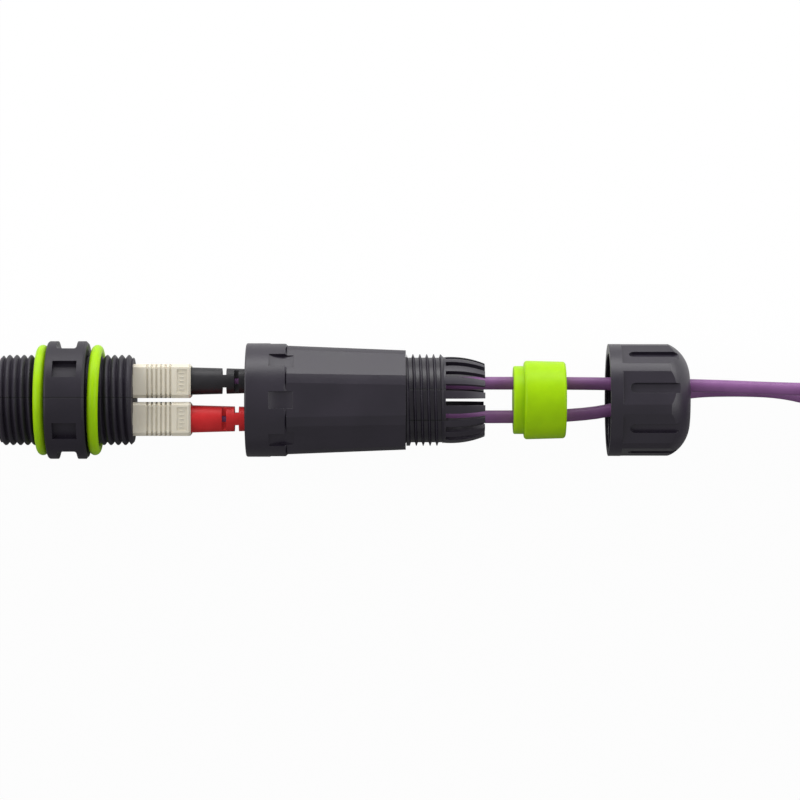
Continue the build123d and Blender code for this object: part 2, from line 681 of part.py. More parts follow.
def hank_tie(base, straight):
    middle = HANK_START + (straight + HANK_WIDTH) / 2
    outside = RectangleRounded(HANK_WIDTH + 2 * TIE_THICKNESS, HANK_HEIGHT + 2 * TIE_THICKNESS, TIE_THICKNESS)
    band = outside - Rectangle(HANK_WIDTH, HANK_HEIGHT)
    return along(band, middle - TIE_WIDTH / 2, middle + TIE_WIDTH / 2, 0, base + HANK_HEIGHT / 2)


def plug_pieces(first_across):
    return {
        "grip": grip(),
        "frame": frame(),
        "ferrule": ferrule(),
        "ferrule_holder": ferrule_holder(),
        "spring": spring(),
        "rear_body": rear_body(),
        "crimp_ring": crimp_ring(),
        "boot": boot(first_across),
    }


def all_pieces():
    pieces = {
        "coupler_barrel": coupler_barrel(),
        "o_ring_free_side": o_ring(FLANGE_START - RING_SECTION / 2 - 0.02),
        "o_ring_cord_side": o_ring(CORD_RING_PLACE, CORD_RING_TILT),
        "housing": housing(),
        "cord_seal": cord_seal(),
        "gland_nut": gland_nut(),
    }
    cords = [
        ("black", 1, True, BLACK_ROUTE, BLACK_TAIL, BLACK_HANK_BASE),
        ("red", -1, False, RED_ROUTE, RED_TAIL, RED_HANK_BASE),
    ]
    for colour, side, first_across, route, tail, hank_base in cords:
        y = side * PORT_OFFSET
        pieces[f"latch_insert_free_{colour}"] = latch_insert(-1, y)
        pieces[f"latch_insert_cord_{colour}"] = latch_insert(1, y)
        pieces[f"alignment_sleeve_{colour}"] = alignment_sleeve(y)
        for name, piece in plug_pieces(first_across).items():
            pieces[f"{colour}_{name}"] = Pos(MIDDLE, y, 0) * piece
            far_place = Pos(FAR_PLUG_TIP, side * FAR_PLUG_OFFSET, FAR_HEIGHT) * Rot(0, 0, 180)
            pieces[f"{colour}_far_{name}"] = far_place * piece
        pieces[f"{colour}_cord"], near_length = cord_tube(f"{colour}_cord", route)
        pieces[f"{colour}_tail"], tail_length = cord_tube(f"{colour}_tail", tail)
        straight = hank_straight(near_length + tail_length)
        print(f"{colour} hank: straight part {straight:.2f}, ends at x = {HANK_START + straight + HANK_WIDTH:.1f}")
        pieces[f"{colour}_hank"] = hank(hank_base, straight)
        pieces[f"{colour}_hank_tie"] = hank_tie(hank_base, straight)
    return pieces


os.makedirs("parts", exist_ok=True)
for node, solid in all_pieces().items():
    export_step(solid, f"parts/{node}.step")
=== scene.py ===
# %% [markdown]
# # A weatherproof coupler for two fibre plugs
# The object is a small connector kit laid out in the order in which it goes together: a threaded
# coupler with two lime O-rings, two push-pull fibre plugs, the housing that screws onto the coupler,
# a lime rubber seal and a dome nut that squeezes the housing's fingers onto the seal.
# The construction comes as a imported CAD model, in metres. This file gives it its looks: threads,
# cords, surface finishes, light and a camera. Sizes are written in millimetres, as a maker would
# write them, and multiplied by MM on their way into a mesh. The camera and the lamps are in metres.

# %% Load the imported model
import math

import bmesh
import bpy
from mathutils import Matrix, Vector


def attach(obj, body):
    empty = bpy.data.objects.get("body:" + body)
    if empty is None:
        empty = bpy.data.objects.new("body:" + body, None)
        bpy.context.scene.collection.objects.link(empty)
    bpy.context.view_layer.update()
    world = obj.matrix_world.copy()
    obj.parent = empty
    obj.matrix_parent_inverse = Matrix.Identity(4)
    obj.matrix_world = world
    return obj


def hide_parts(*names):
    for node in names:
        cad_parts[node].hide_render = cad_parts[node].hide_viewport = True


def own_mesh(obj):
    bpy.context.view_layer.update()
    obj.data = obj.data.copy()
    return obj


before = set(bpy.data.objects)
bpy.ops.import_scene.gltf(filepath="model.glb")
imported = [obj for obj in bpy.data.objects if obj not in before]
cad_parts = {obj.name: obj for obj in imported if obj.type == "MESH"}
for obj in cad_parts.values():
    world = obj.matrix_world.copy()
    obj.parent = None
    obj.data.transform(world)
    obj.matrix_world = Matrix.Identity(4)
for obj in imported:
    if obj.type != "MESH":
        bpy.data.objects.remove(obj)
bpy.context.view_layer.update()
MM = 0.001

# %% [markdown]
# ## Camera
# The photograph is a product picture taken straight from above with a long lens, so the object looks
# almost flat. A camera without perspective would be simpler, but faces that point away from the
# picture's middle still show as thin slivers, and only a real distance gives those. A lens of 153 mm
# at 742 mm gives the photograph's scale, 4.58 pixels a millimetre, along the object's axis.

# %% Camera straight above the object
LENS = 153
SENSOR_WIDTH = 36
CAMERA_PLACE = (0.087, 0.0, 0.7423)

camera_data = bpy.data.cameras.new("camera")
camera_data.lens = LENS
camera_data.sensor_width = SENSOR_WIDTH
camera = bpy.data.objects.new("camera", camera_data)
camera.location = CAMERA_PLACE
bpy.context.scene.collection.objects.link(camera)
bpy.context.scene.camera = camera
print("camera at", tuple(camera.location))

# %% [markdown]
# ## Cords
# Each plug is on a violet cord 1 m long and 2.8 mm thick, with a like plug at its other end. A cord
# is a fixed length of something springy, so it is one curve all the way: the stretch that the
# photograph shows, then a hank that puts the rest away beyond the picture's edge, then the far plug.
# A chain of straight pieces would show its corners. A NURBS curve with listed control points
# bends as smoothly as a real cord does. The hank's turns follow a rule, so a loop works out
# their control points.

# %% Sizes of the cords and their plugs, in millimetres
CORD_DIAMETER = 2.8
PORT_OFFSET = 4.125
CORD_OFFSET = 3.66
PLUG_LENGTH = 23.0
PLUG_TIP = 14.5
CORD_START = PLUG_TIP + PLUG_LENGTH
FAR_PLUG_TIP = 334.5
FAR_CORD_END = FAR_PLUG_TIP - PLUG_LENGTH
FAR_PLUG_OFFSET = 5.0
SLEEVE_HALF = 3.7
FLOOR = -12.85
FAR_HEIGHT = FLOOR + SLEEVE_HALF
print("a cord leaves its plug at", CORD_START, "mm and reaches the far one at", FAR_CORD_END, "mm")

# %% Sizes of the hanks, the black one on top of the red one
TIE_THICKNESS = 0.8
HANK_GAP = 0.3
HANK_LAYERS = 4
HANK_STRAIGHT_START = 209.6
HANK_STRAIGHT = 30.97
INNER_LOOP = 3 * CORD_DIAMETER
OUTER_LOOP = 4 * CORD_DIAMETER
RED_HANK_BASE = FLOOR + TIE_THICKNESS
BLACK_HANK_BASE = RED_HANK_BASE + HANK_LAYERS * CORD_DIAMETER + 2 * TIE_THICKNESS + HANK_GAP
BLACK_LAYER = BLACK_HANK_BASE + CORD_DIAMETER / 2
RED_LAYER = RED_HANK_BASE + CORD_DIAMETER / 2
print(f"lowest turns at {RED_LAYER:.2f} mm and {BLACK_LAYER:.2f} mm")

# %% The black cord's listed points, before and after its hank
black_route = [
    (CORD_START, PORT_OFFSET, 0),
    (66.0, PORT_OFFSET, 0),
    (96.0, CORD_OFFSET, 0),
    (126.0, CORD_OFFSET, 0),
    (140.0, 3.35, 0.8),
    (154.0, 3.1, 1.7),
    (168.0, 2.5, 2.3),
    (180.5, 2.2, 2.4),
    (193.5, INNER_LOOP - 0.4, BLACK_LAYER - 0.05),
    (203.0, INNER_LOOP, BLACK_LAYER),
]
black_tail = [
    (245.0, OUTER_LOOP, BLACK_LAYER + CORD_DIAMETER),
    (256.0, OUTER_LOOP - 0.6, BLACK_LAYER + CORD_DIAMETER - 1.2),
    (266.0, 8.6, -1.5),
    (275.0, 5.7, -7.6),
    (283.5, FAR_PLUG_OFFSET, FAR_HEIGHT),
    (FAR_CORD_END, FAR_PLUG_OFFSET, FAR_HEIGHT + 0.01),
]
print("points by hand on the black cord:", len(black_route + black_tail))

# %% The red cord's listed points
red_route = [
    (CORD_START, -PORT_OFFSET, 0),
    (66.0, -PORT_OFFSET, 0),
    (96.0, -CORD_OFFSET, 0),
    (126.3, -CORD_OFFSET, 0),
    (138.5, -0.9, -0.5),
    (149.5, 1.9, -1.6),
    (161.0, 2.2, -4.5),
    (171.5, 1.8, -8.0),
    (180.5, -0.5, -10.2),
    (192.5, -INNER_LOOP + 0.5, RED_LAYER - 0.05),
    (203.0, -INNER_LOOP, RED_LAYER),
]
red_tail = [
    (245.0, -OUTER_LOOP, RED_LAYER + CORD_DIAMETER),
    (256.0, -OUTER_LOOP + 0.4, RED_LAYER + CORD_DIAMETER - 0.3),
    (266.0, -8.8, FAR_HEIGHT - 0.2),
    (275.0, -5.8, FAR_HEIGHT - 0.1),
    (283.5, -FAR_PLUG_OFFSET, FAR_HEIGHT),
    (FAR_CORD_END, -FAR_PLUG_OFFSET, FAR_HEIGHT - 0.01),
]
print("points by hand on the red cord:", len(red_route + red_tail))

# %% [markdown]
# A hank's turn is two straight runs and two half circles. The turns wind up an inner column, layer by
# layer, and come down an outer one. A quadratic NURBS curve touches the middle of each side of its
# control polygon, so points on a circle that is larger by 1 / cos(half a step) give the wanted bend.

# %% One half circle of a hank
HALF_CIRCLE_STEPS = 8


def half_circle(centre_x, towards, start_radius, end_radius, side, z):
    """Control points of a half circle that starts on the given side in Y and bulges along X."""
    step = math.pi / HALF_CIRCLE_STEPS
    lead = math.tan(step / 2)
    points = [(centre_x - towards * start_radius * lead, side * start_radius, z)]
    for i in range(HALF_CIRCLE_STEPS):
        angle = (i + 0.5) * step
        radius = start_radius + (end_radius - start_radius) * (i + 0.5) / HALF_CIRCLE_STEPS
        reach = radius / math.cos(step / 2)
        x = centre_x + towards * reach * math.sin(angle)
        points.append((x, side * reach * math.cos(angle), z))
    points.append((centre_x - towards * end_radius * lead, -side * end_radius, z))
    return points


print("points in a half circle:", len(half_circle(0, 1, INNER_LOOP, INNER_LOOP, 1, 0)))


# %% The turns of a hank
def hank_turns(side, base):
    """All the turns of one hank. It is entered on the given side at the lowest layer of the inner
    column, and left on the same side from the second layer of the outer column."""
    near = HANK_STRAIGHT_START
    far = near + HANK_STRAIGHT
    top = HANK_LAYERS - 1
    levels = [base + (k + 0.5) * CORD_DIAMETER for k in range(HANK_LAYERS)]
    up = [(levels[k], levels[min(k + 1, top)], INNER_LOOP) for k in range(HANK_LAYERS)]
    down = [(levels[k], levels[k - 1], OUTER_LOOP) for k in (top, top - 1)]
    turns = up + down
    points = []
    for number, (z, next_z, radius) in enumerate(turns):
        next_radius = turns[number + 1][2] if number + 1 < len(turns) else radius
        points += half_circle(far, 1, radius, radius, side, z)
        points += half_circle(near, -1, radius, next_radius, -side, next_z)
    return points


print("points in one hank:", len(hank_turns(1, BLACK_HANK_BASE)))

# %% One curve for each whole cord
CURVE_ORDER = 3
STEPS_ALONG = 6
STEPS_ROUND = 6


def cord_curve(name, points):
    """A NURBS curve with a round section, from control points in millimetres."""
    data = bpy.data.curves.new(name, "CURVE")
    data.dimensions = "3D"
    spline = data.splines.new("NURBS")
    spline.points.add(len(points) - 1)
    for control, (x, y, z) in zip(spline.points, points):
        control.co = (x * MM, y * MM, z * MM, 1)
    spline.order_u = CURVE_ORDER
    spline.use_endpoint_u = True
    spline.resolution_u = STEPS_ALONG
    data.resolution_u = STEPS_ALONG
    data.bevel_depth = CORD_DIAMETER / 2 * MM
    data.bevel_resolution = STEPS_ROUND
    data.use_fill_caps = True
    cord = bpy.data.objects.new(name, data)
    bpy.context.scene.collection.objects.link(cord)
    return cord


cords = {}
for colour, side, route, tail, base in (
    ("black", 1, black_route, black_tail, BLACK_HANK_BASE),
    ("red", -1, red_route, red_tail, RED_HANK_BASE),
):
    points = route + hank_turns(side, base) + tail
    cords[colour] = cord_curve(f"{colour}_plug_cord", points)
    print(colour, "cord:", len(points), "control points")

# %% [markdown]
# ## Shader maths
# A finish is a small network of nodes. Written out node by node it is hard to read, so one class
# wraps a socket and lets Python's own operators add the Math nodes: `grain * 0.4 + 0.3` is then a
# node network. Any other node comes from one method, which takes its settings and its inputs. The
# same class serves Geometry Nodes, because their trees take the same Math nodes.


# %% A socket that can be used in expressions
class Wire:
    """A value in a node tree. Operators on it add Math nodes to the same tree."""

    def __init__(self, tree, socket):
        self.tree = tree
        self.socket = socket

    def node(self, kind, settings=None, inputs=None, output=0):
        """Adds any node: its settings first, then the values or links of its inputs."""
        made = self.tree.nodes.new(kind)
        for name, value in (settings or {}).items():
            setattr(made, name, value)
        for name, value in (inputs or {}).items():
            if isinstance(value, Wire):
                self.tree.links.new(value.socket, made.inputs[name])
            else:
                made.inputs[name].default_value = value
        return Wire(self.tree, made.outputs[output])

    def maths(self, operation, *values):
        return self.node("ShaderNodeMath", {"operation": operation}, dict(enumerate(values)))

    def __add__(self, other):
        return self.maths("ADD", self, other)

    def __sub__(self, other):
        return self.maths("SUBTRACT", self, other)

    def __rsub__(self, other):
        return self.maths("SUBTRACT", other, self)

    def __mul__(self, other):
        return self.maths("MULTIPLY", self, other)

    def __truediv__(self, other):
        return self.maths("DIVIDE", self, other)

    def __pow__(self, other):
        return self.maths("POWER", self, other)

    __radd__ = __add__
    __rmul__ = __mul__

    def absolute(self):
        return self.maths("ABSOLUTE", self)

    def sine(self):
        return self.maths("SINE", self)

    def above(self, limit):
        """1 where the value is larger than the limit, and 0 elsewhere."""
        return self.maths("GREATER_THAN", self, limit)

    def between(self, low, high):
        """0 below low, 1 above high and a smooth step between them."""
        limits = {"Value": self, "From Min": low, "From Max": high}
        return self.node("ShaderNodeMapRange", {"interpolation_type": "SMOOTHSTEP"}, limits)

    def axis(self, letter):
        """The X, Y or Z of a vector."""
        return self.node("ShaderNodeSeparateXYZ", inputs={"Vector": self}, output=letter)


print("operators ready: + - * / **")

# %% [markdown]
# ## A finish and its parts
# Moulded plastic is never one flat colour. The tool's surface leaves a fine grain, the flow of the
# plastic leaves slow changes in gloss, and handling polishes it in places. A painted picture could
# carry all that, but it would have to be unwrapped onto each piece. Noise in the object's own
# coordinates, in millimetres, fits any piece at the size that the real marks have.
# Sharp CAD edges are softened by a Bevel node, because a moulded edge always has a small radius.

# %% Start a finish, and read its noise
MILLIMETRES = (1000, 1000, 1000)


def start(name):
    """A new material, and the object's coordinates in millimetres as its first wire."""
    made = bpy.data.materials.new(name)
    made.use_nodes = True
    made.node_tree.nodes.clear()
    place = Wire(made.node_tree, None).node("ShaderNodeTexCoord", output="Object")
    scaled = {0: place, 1: MILLIMETRES}
    return made, place.node("ShaderNodeVectorMath", {"operation": "MULTIPLY"}, scaled)


def noise(place, size, detail=2.0, rough=0.5):
    """Noise from 0 to 1 whose lumps are about size millimetres wide."""
    values = {"Vector": place, "Scale": 1 / size, "Detail": detail, "Roughness": rough}
    return place.node("ShaderNodeTexNoise", {"noise_dimensions": "3D"}, values)


def varied(middle, grain, spread):
    """A value that noise from 0 to 1 moves by half the spread to each side of the middle."""
    return middle + (grain - 0.5) * spread


print("noise and its spread ready")

# %% Colours
# A Mix node has sockets for each kind of value. These are the ones for a mix of two colours.
MIX_SHARE = 0
MIX_FIRST = 6
MIX_SECOND = 7
MIX_RESULT = 2


def mixed(share, first, second):
    """A colour between two, by a share from 0 to 1."""
    values = {MIX_SHARE: share, MIX_FIRST: first, MIX_SECOND: second}
    return share.node("ShaderNodeMix", {"data_type": "RGBA"}, values, output=MIX_RESULT)


def srgb(red, green, blue):
    """A colour picked in a paint program, as the linear value that a shader needs. The numbers are
    those of the sRGB standard."""
    linear = []
    for part in (red, green, blue):
        share = part / 255
        linear.append(share / 12.92 if share <= 0.04045 else ((share + 0.055) / 1.055) ** 2.4)
    return (*linear, 1)


print("middle grey is", srgb(128, 128, 128)[0])

# %% Bumps and the shared end of each finish
BEVEL_SAMPLES = 4


def bumped(height, depth, edge=0.0):
    """A normal from a height. Depth is the bump's real size and edge the radius of the piece's
    edges, both in millimetres."""
    values = {"Height": height, "Distance": depth * MM, "Strength": 1.0}
    if edge:
        rounding = {"Radius": edge * MM}
        values["Normal"] = height.node("ShaderNodeBevel", {"samples": BEVEL_SAMPLES}, rounding)
    return height.node("ShaderNodeBump", inputs=values)


def finish(made, colour, roughness, normal, **sockets):
    """Ends a material in a Principled shader. Sockets are plain numbers or colours."""
    inputs = {"Base Color": colour, "Roughness": roughness, "Normal": normal}
    for name, value in sockets.items():
        inputs[name.replace("_", " ")] = value
    shader = normal.node("ShaderNodeBsdfPrincipled", inputs=inputs)
    output = made.node_tree.nodes.new("ShaderNodeOutputMaterial")
    made.node_tree.links.new(shader.socket, output.inputs["Surface"])
    return made


print("finish helpers ready")

# %% [markdown]
# ## Plastics
# The coupler, housing and nut are a glass-filled plastic in near-black with a violet tinge. Its skin
# is satin: rough enough to give broad highlights, with a fine grain. Where the parts of the mould
# met, fine dark seams run along the piece. They could be cut into the mesh, but they are under half a
# millimetre wide, so the finish draws them as a painted and dented line, and the mesh stays simple.
# The plugs are a smoother beige plastic that light enters a little, so the shadows in their grooves
# stay soft.

# %% Seams where the parts of a mould met
SEAM_WIDTH = 0.19
SEAM_CORE = 0.3
SEAM_DEPTH = 3.0
SEAM_SHARE = 0.85
SEAM_DULLNESS = 0.3
SEAM_SHADE = srgb(12, 10, 15)
BARREL_SEAMS = [(0.5, -1.0, 30.0)]
GLAND_SEAMS = [(2.3, 89.0, 97.4), (-4.4, 89.0, 97.4)]


def seam_line(place, y, start_x, end_x):
    """1 on a fine line along X and 0 beside it, in millimetres."""
    across = (place.axis("Y") - y).absolute()
    along = place.axis("X")
    line = 1 - across.between(SEAM_WIDTH * SEAM_CORE, SEAM_WIDTH)
    return line * along.above(start_x) * (1 - along.above(end_x))


print("seams:", len(BARREL_SEAMS + GLAND_SEAMS))

# %% Dark moulded plastic
COUPLER_SKIN = {"dark": srgb(27, 23, 33), "pale": srgb(34, 29, 41), "roughness": 0.48, "shine": 0.36}
HOUSING_SKIN = {"dark": srgb(27, 22, 34), "pale": srgb(35, 29, 42), "roughness": 0.38, "shine": 0.55}


def dark_plastic(name, seams, dark, pale, roughness, shine):
    """A satin moulded skin with slow cloudy changes, a fine grain and the mould's seams."""
    made, place = start(name)
    clouds = noise(place, size=9.0, detail=3.0)
    grain = noise(place, size=0.22, rough=0.6)
    speckle = noise(place, size=0.07, detail=1.0)
    colour = mixed(clouds.between(0.3, 0.75) * 0.7 + speckle * 0.3, dark, pale)
    gloss = varied(roughness, clouds, spread=0.12)
    gloss = varied(gloss, grain, spread=0.1)
    height = grain * 0.7 + speckle * 0.3
    for seam in seams:
        line = seam_line(place, *seam)
        colour = mixed(line * SEAM_SHARE, colour, SEAM_SHADE)
        gloss = gloss + line * SEAM_DULLNESS
        height = height - line * SEAM_DEPTH
    normal = bumped(height, depth=0.012, edge=0.12)
    return finish(made, colour, gloss, normal, Specular_IOR_Level=shine)


print("roughness of coupler and housing:", COUPLER_SKIN["roughness"], HOUSING_SKIN["roughness"])

# %% Beige plug plastic
BEIGE = srgb(222, 216, 200)
BEIGE_DEEP = srgb(215, 208, 191)
IVORY = srgb(223, 218, 203)


def plug_plastic(name, deep, pale):
    """A smooth plastic with a faint orange-peel skin that light enters slightly."""
    made, place = start(name)
    clouds = noise(place, size=5.0)
    skin = noise(place, size=0.5)
    colour = mixed(clouds.between(0.25, 0.8), deep, pale)
    gloss = varied(0.52, skin, spread=0.14)
    depths = {"Subsurface_Weight": 0.12, "Subsurface_Radius": (0.6, 0.5, 0.35), "Subsurface_Scale": MM}
    normal = bumped(skin, depth=0.006, edge=0.12)
    return finish(made, colour, gloss, normal, Specular_IOR_Level=0.2, **depths)


print("beige in linear values:", [round(part, 3) for part in BEIGE])

# %% [markdown]
# ## Rubbers
# The seals are lime silicone rubber, saturated and slightly translucent, with the soft sheen of a
# part that has just left its mould. Plain colour would look like paint, so light goes in a little
# and comes out greener. The bend boots are a duller rubber, one black and one red, and show no such
# glow, which keeps their finish simple.

# %% Lime seals
LIME = srgb(156, 202, 0)
LIME_DEEP = srgb(149, 195, 0)


def seal_rubber(name):
    """A soft saturated rubber that glows a little from inside."""
    made, place = start(name)
    clouds = noise(place, size=4.0, detail=3.0)
    skin = noise(place, size=0.35)
    colour = mixed(clouds.between(0.3, 0.7), LIME_DEEP, LIME)
    gloss = varied(0.4, skin, spread=0.16)
    depths = {"Subsurface_Weight": 0.25, "Subsurface_Radius": (0.9, 1.3, 0.1), "Subsurface_Scale": MM}
    normal = bumped(skin, depth=0.008, edge=0.1)
    return finish(made, colour, gloss, normal, Specular_IOR_Level=0.15, **depths)


print("lime in linear values:", [round(part, 3) for part in LIME])

# %% Bend boots
BOOT_BLACK = srgb(26, 24, 29)
BOOT_BLACK_PALE = srgb(34, 32, 37)
BOOT_RED = srgb(206, 22, 27)
BOOT_RED_PALE = srgb(215, 32, 36)


def boot_rubber(name, deep, pale):
    """A matt rubber with cloudy gloss, as fingers leave it."""
    made, place = start(name)
    clouds = noise(place, size=3.0, detail=3.0)
    skin = noise(place, size=0.18)
    colour = mixed(clouds.between(0.3, 0.7), deep, pale)
    gloss = varied(0.5, clouds, spread=0.15)
    gloss = varied(gloss, skin, spread=0.1)
    normal = bumped(skin, depth=0.008, edge=0.08)
    return finish(made, colour, gloss, normal, Specular_IOR_Level=0.43)


print("red boot in linear values:", [round(part, 3) for part in BOOT_RED])

# %% [markdown]
# ## Cord jacket, tie, metal and ceramic
# The jacket is a smooth violet plastic skin pressed round the fibres, with a matt bloom. The ties
# are a woven tape: threads could be modelled one by one, but at this size two crossed waves look the
# same. Inside each plug are a plated crimp, a drawn spring wire and a ground ceramic pin, which need
# only the marks of their making: streaks round the metal and a fine grind on the pin.

# %% Violet cord jacket
VIOLET = srgb(132, 86, 138)
VIOLET_DEEP = srgb(121, 76, 127)


def jacket(name):
    """A thin plastic skin with a slight bloom."""
    made, place = start(name)
    clouds = noise(place, size=6.0, detail=3.0)
    skin = noise(place, size=0.3, detail=3.0, rough=0.6)
    colour = mixed(clouds.between(0.3, 0.7), VIOLET_DEEP, VIOLET)
    gloss = varied(0.46, skin, spread=0.2)
    return finish(made, colour, gloss, bumped(skin, depth=0.012), Specular_IOR_Level=0.35)


print("violet in linear values:", [round(part, 3) for part in VIOLET])

# %% Woven tie tape
TAPE = srgb(40, 38, 44)
TAPE_PALE = srgb(72, 69, 78)
WEAVE_PITCH = 0.5
WAVE = math.pi / WEAVE_PITCH


def woven_tape(name):
    """Two sets of threads at right angles, one over the other in turn."""
    made, place = start(name)
    warp = (place.axis("X") * WAVE).sine()
    weft = ((place.axis("Y") + place.axis("Z")) * WAVE).sine()
    threads = warp * weft * 0.5 + 0.5
    fuzz = noise(place, size=0.1, detail=3.0, rough=0.7)
    colour = mixed(threads * 0.6 + fuzz * 0.4, TAPE, TAPE_PALE)
    normal = bumped(threads * 0.7 + fuzz * 0.3, depth=0.12)
    return finish(made, colour, 0.75 + fuzz * 0.2, normal, Sheen_Weight=0.3)


print("threads a centimetre:", 10 / WEAVE_PITCH)

# %% Metals and ceramic
PLATING = (0.62, 0.58, 0.5, 1)
STEEL = (0.56, 0.56, 0.58, 1)
CERAMIC = srgb(236, 232, 222)
CERAMIC_DEEP = srgb(228, 224, 212)
STREAK_STRETCH = (1.0, 0.08, 0.08)
STREAK_BRIGHTNESS = 1.15


def metal(name, colour, roughness, streak):
    """Drawn or turned metal: streaks run round the X axis."""
    made, place = start(name)
    stretched = {0: place, 1: STREAK_STRETCH}
    along = place.node("ShaderNodeVectorMath", {"operation": "MULTIPLY"}, stretched)
    streaks = noise(along, size=streak, detail=3.0)
    bright = tuple(min(1, part * STREAK_BRIGHTNESS) for part in colour)
    gloss = varied(roughness, streaks, spread=0.2)
    normal = bumped(streaks, depth=0.004, edge=0.05)
    return finish(made, mixed(streaks, colour, bright), gloss, normal, Metallic=1.0)


def ceramic(name):
    """A finely ground white pin under a clear polish."""
    made, place = start(name)
    grind = noise(place, size=0.2)
    colour = mixed(grind, CERAMIC_DEEP, CERAMIC)
    normal = bumped(grind, depth=0.001, edge=0.05)
    return finish(made, colour, 0.12 + grind * 0.06, normal, Coat_Weight=0.3)


print("plating and steel:", PLATING[:3], STEEL[:3])

# %% One finish for each slot of the record
finishes = {
    "coupler_plastic": dark_plastic("coupler_plastic", BARREL_SEAMS, **COUPLER_SKIN),
    "anthracite_plastic": dark_plastic("anthracite_plastic", GLAND_SEAMS, **HOUSING_SKIN),
    "lime_rubber": seal_rubber("lime_rubber"),
    "beige_plastic": plug_plastic("beige_plastic", BEIGE_DEEP, BEIGE),
    "frame_plastic": plug_plastic("frame_plastic", BEIGE, IVORY),
    "ceramic": ceramic("ceramic"),
    "plated_metal": metal("plated_metal", PLATING, roughness=0.3, streak=0.2),
    "spring_steel": metal("spring_steel", STEEL, roughness=0.28, streak=0.15),
    "black_boot_rubber": boot_rubber("black_boot_rubber", BOOT_BLACK, BOOT_BLACK_PALE),
    "red_boot_rubber": boot_rubber("red_boot_rubber", BOOT_RED, BOOT_RED_PALE),
    "violet_jacket": jacket("violet_jacket"),
    "tie_fabric": woven_tape("tie_fabric"),
}
print("finishes:", sorted(finishes))

# %% [markdown]
# ## Dress the CAD model
# The pieces that keep their CAD mesh only change their material. A list of all 52 names would do, but
# the end of a node's name already says what it is made of, so a short table of endings is enough.

# %% What a node is made of
MADE_OF = {
    "coupler_barrel": "coupler_plastic",
    "side": "lime_rubber",
    "cord_seal": "lime_rubber",
    "housing": "anthracite_plastic",
    "gland_nut": "anthracite_plastic",
    "grip": "beige_plastic",
    "frame": "frame_plastic",
    "ferrule": "ceramic",
    "ferrule_holder": "plated_metal",
    "spring": "spring_steel",
    "rear_body": "plated_metal",
    "crimp_ring": "plated_metal",
    "tie": "tie_fabric",
}


def slot_of(node):
    """The slot of a CAD node, from its name."""
    if node.startswith("latch_insert"):
        return "frame_plastic"
    if node.startswith("alignment_sleeve"):
        return "ceramic"
    if node.endswith("boot"):
        return node.split("_")[0] + "_boot_rubber"
    if node.endswith(("cord", "hank", "tail")):
        return "violet_jacket"
    fits = [ending for ending in MADE_OF if node.endswith(ending)]
    return MADE_OF[max(fits, key=len)]


print("the far red boot is", slot_of("red_far_boot"))


# %% Give each CAD node its finish
def dress(thing, slot):
    """Puts a slot's finish on an object as its only material."""
    thing.data.materials.clear()
    thing.data.materials.append(finishes[slot])


for name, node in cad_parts.items():
    dress(node, slot_of(name))
print("dressed", len(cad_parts), "CAD nodes")

# %% [markdown]
# ## Springs
# Behind each ceramic pin a coil spring pushes the pin forward. When two pins meet, the pin goes back
# by 0.8 mm. A spring that rode on the pin would leave its seat, and one that rode on the plug would
# run into the pin. Here each spring's length is read from its mesh, and each spring gets a mesh of
# its own.

# %% Give each spring a mesh of its own
NEAR_SEAT = 32.2
FAR_SEAT = 316.8

for colour in ("black", "red"):
    for plug, seat in ((colour, NEAR_SEAT), (f"{colour}_far", FAR_SEAT)):
        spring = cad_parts[f"{plug}_spring"]
        along = [vertex.co.x / MM for vertex in spring.data.vertices]
        length = max(along) - min(along)
        seat * MM
        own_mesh(spring)

# %% [markdown]
# ## Threads
# A moulded thread is one groove that winds round the piece. A stack of rings would look like it from
# afar, but its ends would give it away. Geometry Nodes draw the groove as it is cut on a lathe: a
# spiral is the tool's path and a small outline is the tool's tip. The outline is a line of points
# whose depth follows a formula, which gives sharp valleys between rounded crests with a high power,
# or thin ridges between flat valleys with a wide floor. A Boolean then cuts it from a copy.
#
# The tree's inputs are the tool's sizes. Depth is how deep it goes, Lip how far it stands out of the
# surface, Width how wide it is at the surface, Floor Share how much of that is flat floor, and
# Rounding the power of the slope beside the floor.


# %% How every tree starts and ends
def open_tree(name, result, sizes):
    """A Geometry Nodes tree with an input for each size and one for the material, and its inputs."""
    tree = bpy.data.node_groups.new(name, "GeometryNodeTree")
    tree.interface.new_socket(result, in_out="OUTPUT", socket_type="NodeSocketGeometry")
    for size, kind in sizes.items():
        tree.interface.new_socket(size, in_out="INPUT", socket_type=f"NodeSocket{kind}")
    tree.interface.new_socket("Material", in_out="INPUT", socket_type="NodeSocketMaterial")
    given = tree.nodes.new("NodeGroupInput")
    return tree, {socket.name: Wire(tree, socket) for socket in given.outputs if socket.name}


def close_tree(shape, material):
    """Ends a tree in Realize Instances and Set Material."""
    real = shape.node("GeometryNodeRealizeInstances", inputs={"Geometry": shape})
    ended = shape.node("GeometryNodeSetMaterial", inputs={"Geometry": real, "Material": material})
    result = shape.tree.nodes.new("NodeGroupOutput")
    shape.tree.links.new(ended.socket, result.inputs[0])


print("tree helpers ready")

# %% A tree that draws the groove cutter
GROOVE_SIZES = ["Radius", "Pitch", "Turns", "Depth", "Lip", "Width", "Floor Share", "Rounding"]
SPIRAL_STEPS = 64
OUTLINE_POINTS = 24
# Past this share of its half width, the outline stands clear of the surface.
MOUTH = 0.99


